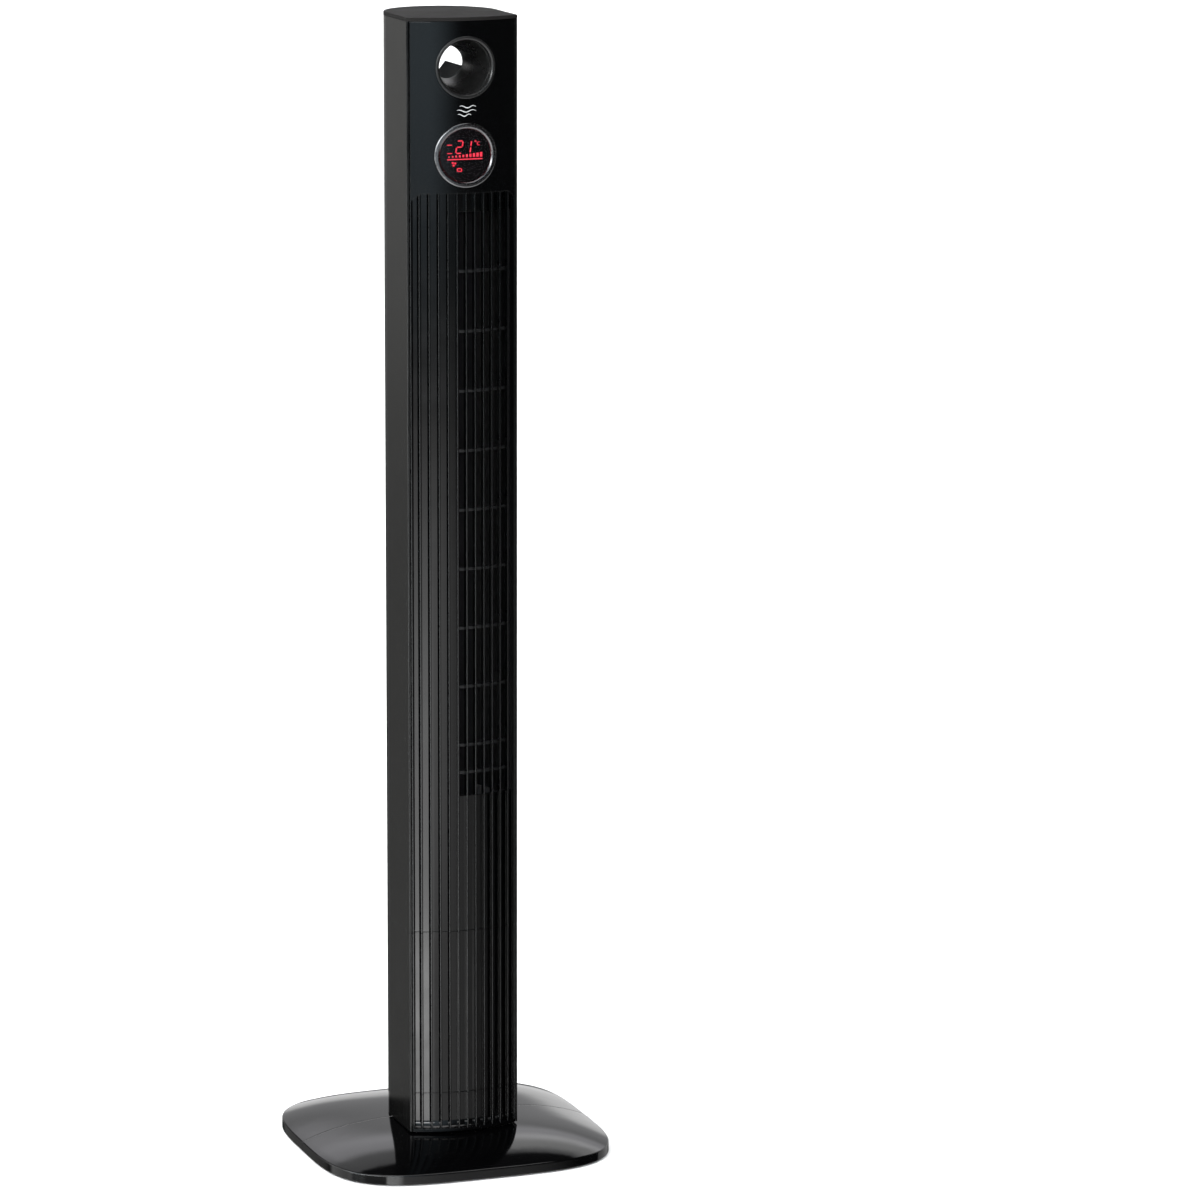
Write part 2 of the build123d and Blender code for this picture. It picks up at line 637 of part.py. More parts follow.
def motor_end_shields():
    """Two pressed motor covers with bearing bores."""
    low, high = MOTOR_Z
    lower = rod(MOTOR_RADIUS, low, low + 10) - rod(MOTOR_RADIUS - 2, low + 2, low + 12)
    lower += rod(11, low - 3, low + 8)
    upper = rod(MOTOR_RADIUS, high - 10, high) - rod(MOTOR_RADIUS - 2, high - 12, high - 2)
    upper += rod(11, high - 8, high + 3)
    bore = rod(SHAFT_RADIUS + 0.05, low - 10, high + 10)
    return [Pos(*IMPELLER_AT, 0) * (lower - bore), Pos(*IMPELLER_AT, 0) * (upper - bore)]


def motor_stator():
    """Laminated stator between the covers."""
    low, high = MOTOR_Z
    return tube(MOTOR_RADIUS - 1, 19.6, low + 10, high - 10, IMPELLER_AT)


def motor_bracket():
    """Plate under the duct that the blower motor hangs from."""
    plan = section(WALL + 0.6) & plan_box((-60, 60), (-50, 60))
    plan -= Pos(*IMPELLER_AT) * Circle(12)
    bracket = slab(plan, 365, 367.4) - rod(3.2, 360, 370, LOOM_AT)
    for k in range(4):
        a = math.radians(45 + 90 * k)
        at = (IMPELLER_AT[0] + 31 * math.cos(a), IMPELLER_AT[1] + 31 * math.sin(a))
        bracket += rod(4, 367.4, DUCT_Z[0], at)
        bracket += rod(4, MOTOR_Z[1], 365, at)
    return bracket


def top_bearing():
    """Sintered bush for the upper stub shaft."""
    low = DUCT_Z[1] - PLATE
    return tube(9, SHAFT_RADIUS + 0.05, low - 2, low + 8, IMPELLER_AT)


def top_bearing_cap():
    """Rubber-mounted cover that holds the bush on the duct plate."""
    low = DUCT_Z[1]
    cap = rod(17, low, low + 2.5, IMPELLER_AT) + rod(12, low, low + 10, IMPELLER_AT)
    return cap - rod(9.05, low - 5, low + 5.2, IMPELLER_AT) - rod(5, low, low + 20, IMPELLER_AT)


# ------------------------------------------------------------------ head
def control_panel():
    """Smooth front panel with the hand opening and the display opening."""
    outline = front_block(PANEL_HALF, 0, PANEL_BACK)
    outline = fillet(on_front_arc(outline), 0.8)
    panel = slab(outline, GRILLE_TOP + 0.1, CAP_BOTTOM - 0.2)
    hollow = front_block(PANEL_HALF - PANEL_WALL, 2.4, PANEL_BACK + 1)
    panel -= slab(hollow, GRILLE_TOP + 2.6, HEIGHT)
    for side in (-1, 1):
        panel += corner_ear(side, 0, GRILLE_TOP + 1)
    top = panel.edges().group_by(Axis.Z)[-1].sort_by(Axis.Y)[:1]
    panel = fillet(top, 0.6)
    panel -= y_rod(HANDLE_RING + 0.1, -95, PANEL_BACK + 5, (0, HANDLE_Z))
    return panel - y_rod(DISPLAY_RING + 0.1, -95, PANEL_BACK + 5, (0, DISPLAY_Z))


def bezel(outer, inner, z, back, outer_round, inner_round):
    """Ring that follows the curved front and stands slightly proud of it."""
    ring = y_rod(outer, -95, -40, (0, z)) - y_rod(inner, -95, -40, (0, z))
    ring &= slab(front_block(HALF_WIDTH, -RING_PROUD, back), z - 60, z + 60)
    ring = fillet(ring.edges().filter_by(GeomType.BSPLINE).sort_by(SortBy.LENGTH)[:1], inner_round)
    return fillet(ring.edges().filter_by(GeomType.BSPLINE).sort_by(SortBy.LENGTH)[-1:], outer_round)


def handle_funnel():
    """Trumpet-shaped hand opening that narrows to a throat."""
    profile = [(27.0, -70.0), (22.9, -56.0), (19.0, -38.0), (HANDLE_THROAT, THROAT_Y)]
    upright = Plane((0, 0, HANDLE_Z), x_dir=(1, 0, 0), z_dir=(0, 0, 1))
    inside = Spline(*profile)
    outside = Spline(*[(r + 2.0, y) for r, y in profile])
    ends = [Line(inside @ 0, outside @ 0), Line(inside @ 1, outside @ 1)]
    wall = make_face([inside, ends[1], outside, ends[0]])
    flange = plan_box((HANDLE_THROAT, 23), (THROAT_Y, THROAT_Y + 2))
    return revolve(upright * (wall + flange), Axis((0, 0, HANDLE_Z), (0, 1, 0)))


def rear_hand_duct():
    """Liner between the throat and the rear hand opening."""
    front = THROAT_Y + 2.1
    half, low, high = HAND_HALF + 1, HAND_Z[0] - 0.2, HAND_Z[1] + 0.2
    duct = block((-half - 2, half + 2), (front, 58), (low - 2, high + 2))
    duct -= block((-half, half), (front + 2, 70), (low, high))
    duct -= y_rod(HANDLE_THROAT + 0.1, -40, 10, (0, HANDLE_Z))
    return duct & slab(section(WALL + 0.3), 1090, 1170)


def top_cap():
    """Flat lid with a locating lip."""
    lid = slab(section(), CAP_BOTTOM, HEIGHT)
    lid = chamfer(lid.edges().group_by(Axis.Z)[-1], 0.7)
    lip = section(5.8) - section(7.6)
    return lid + slab(lip, CAP_BOTTOM - 7, CAP_BOTTOM)


def display_lens():
    """Curved dark window of the display."""
    curve = front_block(HALF_WIDTH, 1.6, -50) - front_block(HALF_WIDTH, 3.4, -49)
    return y_rod(LENS_RADIUS, -95, -50, (0, DISPLAY_Z)) & slab(curve, DISPLAY_Z - 40, DISPLAY_Z + 40)


def stroke(x0, z0, x1, z1, width):
    """One straight lit stroke on the display."""
    length = math.hypot(x1 - x0, z1 - z0)
    tilt = math.degrees(math.atan2(z1 - z0, x1 - x0))
    depth = SEGMENT_Y[1] - SEGMENT_Y[0]
    place = Pos((x0 + x1) / 2, sum(SEGMENT_Y) / 2, (z0 + z1) / 2)
    return place * Rot(0, -tilt, 0) * Box(length, depth, width)


def seven_segment(x, z, lit):
    """Strokes of one leaning seven-segment digit, lower left corner at x, z."""
    wide, tall, lean, gap = 6.0, 6.2, 0.9, 0.7
    ends = {
        "bottom": (0, 0, wide, 0),
        "middle": (lean, tall, wide + lean, tall),
        "top": (2 * lean, 2 * tall, wide + 2 * lean, 2 * tall),
        "low_left": (0, 0, lean, tall),
        "low_right": (wide, 0, wide + lean, tall),
        "high_left": (lean, tall, 2 * lean, 2 * tall),
        "high_right": (wide + lean, tall, wide + 2 * lean, 2 * tall),
    }
    made = []
    for name in lit:
        x0, z0, x1, z1 = ends[name]
        length = math.hypot(x1 - x0, z1 - z0)
        dx, dz = (x1 - x0) / length * gap, (z1 - z0) / length * gap
        made.append(stroke(x + x0 + dx, z + z0 + dz, x + x1 - dx, z + z1 - dz, 1.1))
    return made


def display_segments():
    """Lit strokes: a two-digit temperature, a speed scale and two symbols."""
    z = DISPLAY_Z
    made = seven_segment(-8.5, z + 1.5, ["top", "high_right", "middle", "low_left", "bottom"])
    made += seven_segment(0.5, z + 1.5, ["high_right", "low_right"])
    made.append(y_rod(0.9, *SEGMENT_Y, (12.4, z + 13.2)) - y_rod(0.5, *SEGMENT_Y, (12.4, z + 13.2)))
    made += [stroke(14.3, z + 12, 14.3, z + 9.6, 0.6), stroke(14.8, z + 12.3, 16.6, z + 12.3, 0.6)]
    made.append(stroke(14.8, z + 9.3, 16.6, z + 9.3, 0.6))
    for k, tall in enumerate([1.4, 1.6, 1.9, 2.2, 2.5, 2.9, 3.3, 3.7, 4.1, 4.6]):
        x = -15.5 + 3.75 * k
        made.append(stroke(x, z - 2.6, x, z - 2.6 + tall, 1.2 + 0.13 * k))
    made.append(stroke(-17.5, z - 4.6, 19.5, z - 4.6, 1.0))
    made += [stroke(-17.5, z + 10, -12.4, z + 10, 0.8), stroke(-17.5, z + 1.6, -12.4, z + 1.6, 0.8)]
    for angle in (0, 120, 240):
        a = math.radians(angle + 20)
        x, up = -10.5 + 1.6 * math.cos(a), z - 9.0 + 1.6 * math.sin(a)
        made.append(y_rod(1.0, *SEGMENT_Y, (x, up)))
    for side in (-1, 1):
        x, up = -4.6, z - 15.2
        made.append(stroke(x - 2.4 * side, up + 1.4 * side, x + 1.2 * side, up + 1.4 * side, 0.8))
        made.append(stroke(x + 1.9 * side, up + 1.5 * side, x + 2.4 * side, up - 1.0 * side, 0.8))
    return made


def display_module():
    """Round black mask that carries the lit strokes."""
    return y_rod(LENS_RADIUS - 0.6, SEGMENT_Y[1], -68.2, (0, DISPLAY_Z))


def display_board():
    """Circuit board behind the display."""
    board = block((-34, 34), (-68.2, -66.6), (DISPLAY_Z - 32, DISPLAY_Z + 30))
    return board & slab(front_block(50, 3, -50), 900, 1100)


def display_plugs():
    """Receiver for the remote control and a plug on the display board."""
    receiver = block((-30, -25), (-71.5, -68.2), (DISPLAY_Z - 31.5, DISPLAY_Z - 27))
    return [receiver, block((-10, 10), (-66.6, -61), (DISPLAY_Z - 28, DISPLAY_Z - 22))]


def control_board():
    """Logic board behind the display."""
    return block((-40, 40), (-46, -44.4), (1010, 1084))


def wiring_loom():
    """Bundle of wires from the mains board to the logic board."""
    x, y = LOOM_AT
    path = FilletPolyline((-38, -28, 190), (x, y, 205), (x, y, 1020), (-38, -41, 1034), radius=9)
    return sweep(Plane(origin=path @ 0, z_dir=path % 0) * Circle(2.4), path=path)


# ------------------------------------------------------------------ files
def write(name, shape):
    """Write one sub-part as parts/NAME.step."""
    if isinstance(shape, list):
        shape = Compound(children=shape)
    export_step(shape, f"parts/{name}.step")


def main():
    os.makedirs("parts", exist_ok=True)
    base_front, base_rear = base_halves()
    write("base_front_half", base_front)
    write("base_rear_half", base_rear)
    write("base_feet", base_feet())
    write("cord_grommet", cord_grommet())
    write("swivel_plate", swivel_plate())
    write("swivel_screws", swivel_screws())
    write("pivot_tube", pivot_tube())
    write("pivot_glide_ring", tube(43, 30, 29.8, TOWER_BOTTOM))
    write("pivot_retainer", tube(22, PIVOT_BORE, 41.2, 44.0))
    write("oscillation_ring_gear", ring_gear())
    write("pivot_clip", tube(18, PIVOT_BORE, 53.2, 55.0))
    write("oscillation_pinion", pinion())
    write("oscillation_motor", oscillation_motor())
    write("oscillation_bracket", oscillation_bracket())
    write("oscillation_screws", oscillation_screws())
    write("column_foot", column_foot())
    write("front_skirt", front_skirt())
    lower_front = slab(finned_plan(False), SKIRT_TOP + SEAM / 2, COLUMN_SPLIT - SEAM / 2)
    write("lower_front_panel", lower_front)
    lower = side_shell(TOWER_BOTTOM, COLUMN_SPLIT - SEAM / 2)
    write("lower_rear_shell", add_rear_bosses(lower, rear_places(LOWER_SCREWS)))
    write("upper_rear_shell", upper_shell())
    write("head_back_cover", head_back_cover())
    write("shell_screws", rear_screws(rear_places(LOWER_SCREWS + UPPER_SCREWS + COVER_SCREWS)))
    write("joining_sleeve", joining_sleeve())
    write("power_board", power_board())
    write("power_board_parts", board_parts())
    write("run_capacitor", run_capacitor())
    write("rear_intake_grille", intake_grille())
    write("front_grille_panel", front_grille())
    write("outlet_guard", outlet_guard())
    hole = Pos(*IMPELLER_AT) * Circle(14)
    write("duct_bottom_plate", duct_plate(DUCT_Z[0]) - slab(hole, 360, 380))
    top_hole = rod(9.05, 980, 1010, IMPELLER_AT)
    write("duct_top_plate", duct_plate(DUCT_Z[1] - PLATE) - top_hole)
    write("air_scroll", air_scroll())
    write("vortex_tongue", vortex_tongue())
    write("impeller", impeller())
    write("impeller_shaft", impeller_shaft())
    write("motor_shaft", motor_shaft())
    write("motor_end_shields", motor_end_shields())
    write("motor_stator", motor_stator())
    write("motor_bracket", motor_bracket())
    write("top_bearing", top_bearing())
    write("top_bearing_cap", top_bearing_cap())
    write("control_panel", control_panel())
    write("handle_trim_ring", bezel(HANDLE_RING, HANDLE_MOUTH, HANDLE_Z, -70.2, 0.9, 2.2))
    write("handle_funnel", handle_funnel())
    write("rear_hand_duct", rear_hand_duct())
    write("top_cap", top_cap())
    write("display_bezel", bezel(DISPLAY_RING, LENS_RADIUS + 0.1, DISPLAY_Z, -68.4, 1.6, 2.4))
    write("display_lens", display_lens())
    write("display_segments", display_segments())
    write("display_module", display_module())
    write("display_board", display_board())
    write("display_plugs", display_plugs())
    write("control_board", control_board())
    write("wiring_loom", wiring_loom())


main()
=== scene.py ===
"""Looks of the tower fan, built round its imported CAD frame. All lengths are in metres."""

import json
import math

import bpy
import bmesh
from mathutils import Matrix, Vector


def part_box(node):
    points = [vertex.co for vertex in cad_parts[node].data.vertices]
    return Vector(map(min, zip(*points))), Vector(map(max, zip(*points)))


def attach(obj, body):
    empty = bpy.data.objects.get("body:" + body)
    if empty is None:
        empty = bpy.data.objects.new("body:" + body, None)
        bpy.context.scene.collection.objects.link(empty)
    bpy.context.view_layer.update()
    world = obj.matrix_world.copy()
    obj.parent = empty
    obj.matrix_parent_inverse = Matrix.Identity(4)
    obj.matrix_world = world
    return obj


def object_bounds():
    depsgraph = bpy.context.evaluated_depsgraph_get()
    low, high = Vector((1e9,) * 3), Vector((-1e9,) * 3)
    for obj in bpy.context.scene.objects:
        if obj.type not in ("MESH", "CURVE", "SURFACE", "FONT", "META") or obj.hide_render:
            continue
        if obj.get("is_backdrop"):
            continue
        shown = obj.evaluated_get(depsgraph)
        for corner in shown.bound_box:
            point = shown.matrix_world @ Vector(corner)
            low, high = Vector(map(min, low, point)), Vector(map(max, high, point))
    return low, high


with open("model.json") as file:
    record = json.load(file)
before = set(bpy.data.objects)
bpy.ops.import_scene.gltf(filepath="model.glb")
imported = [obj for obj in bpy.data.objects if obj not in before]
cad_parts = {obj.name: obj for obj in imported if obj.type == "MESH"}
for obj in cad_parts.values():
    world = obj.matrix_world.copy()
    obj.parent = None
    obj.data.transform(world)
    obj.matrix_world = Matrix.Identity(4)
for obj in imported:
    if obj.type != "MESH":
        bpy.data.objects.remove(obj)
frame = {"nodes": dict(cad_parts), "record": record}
cad_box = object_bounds()
NODES = frame["nodes"]

DUST = (0.30, 0.29, 0.27)     # colour of dust on upward faces
GRAIN = 900                   # features of the moulded grain per metre
EDGE_RADIUS = 0.0004          # rounding of ordinary moulded edges
FINE_EDGE_RADIUS = 0.0002     # rounding of gear teeth and metal parts
BASE_EDGE_RADIUS = 0.0014     # rounding of the base's rim


# ------------------------------------------------------------------ node helpers
class Shader:
    """A material with a Principled shader and short ways to add nodes to it."""

    def __init__(self, name, colour, roughness, **sockets):
        self.material = bpy.data.materials.new(name)
        self.material.use_nodes = True
        self.tree = self.material.node_tree
        self.tree.nodes.clear()
        self.bsdf = self.add("ShaderNodeBsdfPrincipled")
        output = self.add("ShaderNodeOutputMaterial")
        self.tree.links.new(self.bsdf.outputs["BSDF"], output.inputs["Surface"])
        self.coordinates = self.add("ShaderNodeTexCoord").outputs["Object"]
        self.bsdf.inputs["Base Color"].default_value = (*colour, 1)
        self.bsdf.inputs["Roughness"].default_value = roughness
        for socket, value in sockets.items():
            self.bsdf.inputs[socket.replace("_", " ")].default_value = value
        self.colour = self.rgb(colour)
        self.normal = None

    def add(self, kind, **values):
        """A node with the given properties or input values."""
        node = self.tree.nodes.new(kind)
        for key, value in values.items():
            if hasattr(node, key):
                setattr(node, key, value)
            else:
                self.feed(node.inputs[key.replace("_", " ")], value)
        return node

    def feed(self, socket, value):
        """Link an output to a socket, or set the socket's value."""
        if isinstance(value, bpy.types.NodeSocket):
            self.tree.links.new(value, socket)
        else:
            socket.default_value = value

    def rgb(self, colour):
        """A constant colour as a node output."""
        node = self.add("ShaderNodeRGB")
        node.outputs[0].default_value = (*colour, 1)
        return node.outputs[0]

    def stretched(self, scale):
        """Object coordinates scaled along each axis."""
        mapping = self.add("ShaderNodeMapping", Vector=self.coordinates)
        mapping.inputs["Scale"].default_value = scale
        return mapping.outputs["Vector"]

    def noise(self, scale, detail=3.0, roughness=0.55, stretch=(1, 1, 1)):
        """Noise from 0 to 1, with its scale in features per metre."""
        where = self.stretched(stretch)
        node = self.add("ShaderNodeTexNoise", Vector=where, Scale=scale, Detail=detail)
        node.inputs["Roughness"].default_value = roughness
        return node.outputs["Fac"]

    def bands(self, scale, axis):
        """Repeating bands across one axis."""
        node = self.add("ShaderNodeTexWave", Vector=self.coordinates, Scale=scale)
        node.bands_direction = axis
        node.wave_profile = "SIN"
        return node.outputs["Fac"]

    def remap(self, value, low, high, to_low=0.0, to_high=1.0):
        """Value from the range low..high to another range, clamped."""
        node = self.add("ShaderNodeMapRange", Value=value)
        limits = {"From Min": low, "From Max": high, "To Min": to_low, "To Max": to_high}
        for key, number in limits.items():
            node.inputs[key].default_value = number
        return node.outputs["Result"]

    def math(self, operation, first, second):
        """One Math node on two values or outputs."""
        node = self.add("ShaderNodeMath", operation=operation)
        self.feed(node.inputs[0], first)
        self.feed(node.inputs[1], second)
        return node.outputs[0]

    def tint(self, factor, colour):
        """Mix another colour into the base colour."""
        node = self.add("ShaderNodeMix", data_type="RGBA")
        self.feed(node.inputs["Factor"], factor)
        self.feed(node.inputs["A"], self.colour)
        self.feed(node.inputs["B"], self.rgb(colour) if isinstance(colour, tuple) else colour)
        self.colour = node.outputs["Result"]
        self.tree.links.new(self.colour, self.bsdf.inputs["Base Color"])

    def upward(self):
        """How far the surface faces up, from 0 to 1."""
        normal = self.add("ShaderNodeNewGeometry").outputs["Normal"]
        split = self.add("ShaderNodeSeparateXYZ", Vector=normal)
        return self.remap(split.outputs["Z"], 0.35, 1.0)

    def frontward(self):
        """How far the surface faces the front of the object, from 0 to 1."""
        normal = self.add("ShaderNodeTexCoord").outputs["Normal"]
        split = self.add("ShaderNodeSeparateXYZ", Vector=normal)
        return self.remap(split.outputs["Y"], -0.3, -0.8)

    def bevel(self, radius):
        """Normal of the surface with its edges rounded to the radius."""
        return self.add("ShaderNodeBevel", samples=4, Radius=radius).outputs["Normal"]

    def soften_edges(self, radius):
        """Round the shading of sharp edges."""
        self.normal = self.bevel(radius)
        self.tree.links.new(self.normal, self.bsdf.inputs["Normal"])

    def worn_edges(self, radius, amount):
        """Where an edge is sharper than the radius, from 0 to amount."""
        flat = self.add("ShaderNodeNewGeometry").outputs["Normal"]
        dot = self.add("ShaderNodeVectorMath", operation="DOT_PRODUCT")
        self.tree.links.new(self.bevel(radius), dot.inputs[0])
        self.tree.links.new(flat, dot.inputs[1])
        return self.remap(dot.outputs["Value"], 0.97, 0.80, 0.0, amount)

    def bump(self, height, distance):
        """Add a bump of the given depth in metres."""
        node = self.add("ShaderNodeBump", Height=height, Distance=distance, Strength=1.0)
        if self.normal:
            self.tree.links.new(self.normal, node.inputs["Normal"])
        self.normal = node.outputs["Normal"]
        self.tree.links.new(self.normal, self.bsdf.inputs["Normal"])

    def rough(self, value):
        """Drive the roughness from an output."""
        self.tree.links.new(value, self.bsdf.inputs["Roughness"])

    def dusty(self, dust):
        """Cover a share of the upward faces with dust."""
        self.tint(self.math("MULTIPLY", self.upward(), dust), DUST)


# ------------------------------------------------------------------ materials
def gloss_plastic(name, colour, roughness, edge=EDGE_RADIUS):
    """Polished moulded plastic with faint flow waves, smudges, hairlines and dust."""
    s = Shader(name, colour, roughness)
    flow_depth, fine_depth = 7.2e-5, 6e-7
    s.soften_edges(edge)
    s.bump(s.noise(14, 1.0), flow_depth)
    s.bump(s.noise(GRAIN, 2.0), fine_depth)
    smudge = s.remap(s.noise(22, 4.0, 0.6), 0.42, 0.72)
    hairline = s.remap(s.noise(60, 2.0, stretch=(1, 1, 0.03)), 0.66, 0.80)
    worn = s.math("ADD", s.math("MULTIPLY", smudge, 0.05), s.math("MULTIPLY", hairline, 0.04))
    s.rough(s.math("ADD", worn, roughness))
    s.dusty(s.remap(s.noise(420, 5.0, 0.7), 0.55, 0.85, 0, 0.008))
    return s.material


def grained_plastic(
    name, colour, roughness, depth=6e-5, mottle=0.25, dust=0.05, shine=0.5, front_painted_light=None
):
    """Moulded plastic with a fine spark-eroded grain, clouds, paler worn edges and dust.

    The side that faces the front of the fan can be painted paler, as painted light falling on that
    side.
    """
    s = Shader(name, colour, roughness, Specular_IOR_Level=shine)
    s.soften_edges(EDGE_RADIUS)
    s.bump(s.noise(GRAIN, 3.0, 0.7), depth)
    cloud = s.remap(s.noise(9, 4.0, 0.6), 0.35, 0.7)
    s.tint(cloud, tuple(c * (1 + mottle) + 0.0004 for c in colour))
    speck = s.remap(s.noise(0.8 * GRAIN, 2.0, 0.8), 0.60, 0.80, 0, 0.5)
    s.tint(speck, tuple(c * 0.75 for c in colour))
    # painted light: faces towards the front are tinted paler, standing in for light falling on them
    if front_painted_light:
        s.tint(s.frontward(), front_painted_light)
    s.tint(s.worn_edges(0.0006, 0.25), tuple(min(1.0, c * 2.2 + 0.01) for c in colour))
    s.dusty(s.remap(s.noise(500, 5.0, 0.7), 0.5, 0.8, 0, dust))
    s.rough(s.remap(s.noise(16, 5.0, 0.6), 0.3, 0.75, roughness - 0.05, roughness + 0.07))
    return s.material


def brushed_metal(name, colour, roughness, stretch=(1, 1, 0.02), scale=1400):
    """Metal with fine drawn lines and slightly duller patches."""
    s = Shader(name, colour, roughness, Metallic=1.0)
    s.soften_edges(FINE_EDGE_RADIUS)
    lines = s.noise(scale, 3.0, 0.7, stretch)
    s.bump(lines, 4e-6)
    s.tint(s.remap(s.noise(70, 4.0), 0.45, 0.75, 0, 0.15), tuple(c * 0.55 for c in colour))
    s.rough(s.remap(lines, 0.3, 0.7, roughness - 0.06, roughness + 0.10))
    return s.material


def rubber(name, colour):
    """Matte moulded rubber with paler scuffs."""
    s = Shader(name, colour, 0.78)
    s.soften_edges(EDGE_RADIUS)
    s.bump(s.noise(1500, 4.0, 0.7), 5e-5)
    s.tint(s.remap(s.noise(240, 5.0, 0.7), 0.5, 0.8, 0, 0.35), tuple(c * 2.4 for c in colour))
    return s.material


def circuit_board(name):
    """Green solder mask over a grid of copper tracks."""
    s = Shader(name, (0.010, 0.085, 0.035), 0.38)
    tracks = s.add("ShaderNodeTexBrick", Vector=s.stretched((1, 1, 1)), Scale=110)
    tracks.inputs["Mortar Size"].default_value = 0.06
    s.tint(s.math("MULTIPLY", tracks.outputs["Fac"], 0.7), (0.035, 0.20, 0.075))
    pads = s.add("ShaderNodeTexVoronoi", Vector=s.coordinates, Scale=240)
    s.tint(s.remap(pads.outputs["Distance"], 0.16, 0.12), (0.55, 0.55, 0.50))
    s.bump(tracks.outputs["Fac"], 3e-5)
    return s.material


def laminations(name):
    """Stacked steel sheets of the stator."""
    s = Shader(name, (0.22, 0.22, 0.23), 0.42, Metallic=0.9)
    sheets = s.bands(310, "Z")
    s.bump(sheets, 8e-5)
    s.tint(s.remap(sheets, 0.2, 0.8, 0.7, 0), (0.05, 0.048, 0.045))
    s.tint(s.remap(s.noise(120, 4.0), 0.55, 0.8, 0, 0.35), (0.16, 0.09, 0.05))
    return s.material


def pressed_sheet(name):
    """Zinc-plated pressed steel with a faint crystalline mottle."""
    s = Shader(name, (0.55, 0.56, 0.58), 0.36, Metallic=1.0)
    s.soften_edges(0.0005)
    crystals = s.add("ShaderNodeTexVoronoi", Vector=s.coordinates, Scale=320)
    s.tint(s.remap(crystals.outputs["Distance"], 0.1, 0.7, 0, 0.35), (0.36, 0.37, 0.40))
    s.bump(s.noise(700, 3.0), 1.2e-5)
    s.rough(s.remap(s.noise(60, 4.0), 0.35, 0.7, 0.28, 0.46))
    return s.material


def sintered_bronze(name):
    """Porous bearing bronze."""
    s = Shader(name, (0.42, 0.24, 0.10), 0.42, Metallic=1.0)
    pores = s.noise(2600, 3.0, 0.8)
    s.bump(pores, 2e-5)
    s.tint(s.remap(pores, 0.55, 0.75, 0, 0.8), (0.13, 0.07, 0.03))
    return s.material


def braided_sleeve(name):
    """Black braided sleeve round the wires."""
    s = Shader(name, (0.016, 0.016, 0.017), 0.62)
    braid = s.math("MULTIPLY", s.bands(420, "Z"), s.bands(380, "X"))
    s.bump(braid, 2e-4)
    s.tint(s.remap(braid, 0.2, 0.8, 0, 0.6), (0.06, 0.06, 0.062))
    return s.material


def acetal(name):
    """Off-white gear plastic with a waxy depth."""
    s = Shader(name, (0.72, 0.70, 0.64), 0.34, Subsurface_Weight=0.25, Subsurface_Scale=0.002)
    s.soften_edges(FINE_EDGE_RADIUS)
    s.bump(s.noise(600, 3.0), 1.5e-5)
    s.tint(s.remap(s.noise(45, 4.0), 0.45, 0.75, 0, 0.5), (0.62, 0.58, 0.49))
    return s.material


def silver_print(name):
    """Pale screen-printed ink with a slightly uneven edge and coverage."""
    s = Shader(name, (0.62, 0.63, 0.64), 0.38, Metallic=0.35)
    s.tint(s.remap(s.noise(2600, 3.0, 0.7), 0.55, 0.8, 0, 0.5), (0.30, 0.31, 0.32))
    s.bump(s.noise(1800, 3.0), 5e-6)
    return s.material


def smoked_lens(name):
    """Dark see-through window of the display."""
    s = Shader(name, (0.004, 0.0035, 0.004), 0.06, Alpha=0.70)
    s.bump(s.noise(20, 1.0), 4e-5)
    s.rough(s.remap(s.noise(26, 4.0, 0.6), 0.4, 0.75, 0.05, 0.12))
    return s.material


def lit_red(name):
    """Red light of the display strokes, a little uneven along each stroke."""
    s = Shader(name, (0.3, 0.005, 0.01), 0.5)
    deep, pale = (1.0, 0.03, 0.07), (1.0, 0.08, 0.12)
    glow = s.add("ShaderNodeMix", data_type="RGBA")
    s.feed(glow.inputs["Factor"], s.remap(s.noise(480, 2.0), 0.35, 0.7))
    s.feed(glow.inputs["A"], s.rgb(deep))
    s.feed(glow.inputs["B"], s.rgb(pale))
    s.feed(s.bsdf.inputs["Emission Color"], glow.outputs["Result"])
    s.bsdf.inputs["Emission Strength"].default_value = 12.0
    return s.material


def lower_gloss(name):
    """Front plastic of the lower column, polished over a faint grain."""
    s = Shader(name, (0.0006, 0.0006, 0.0007), 0.07)
    s.soften_edges(EDGE_RADIUS)
    grain = s.noise(520, 4.0, 0.8)
    s.bump(grain, 2.5e-6)
    s.tint(s.remap(grain, 0.45, 0.75, 0, 0.7), (0.0014, 0.0014, 0.0015))
    s.rough(s.remap(s.noise(30, 4.0), 0.35, 0.7, 0.06, 0.12))
    return s.material


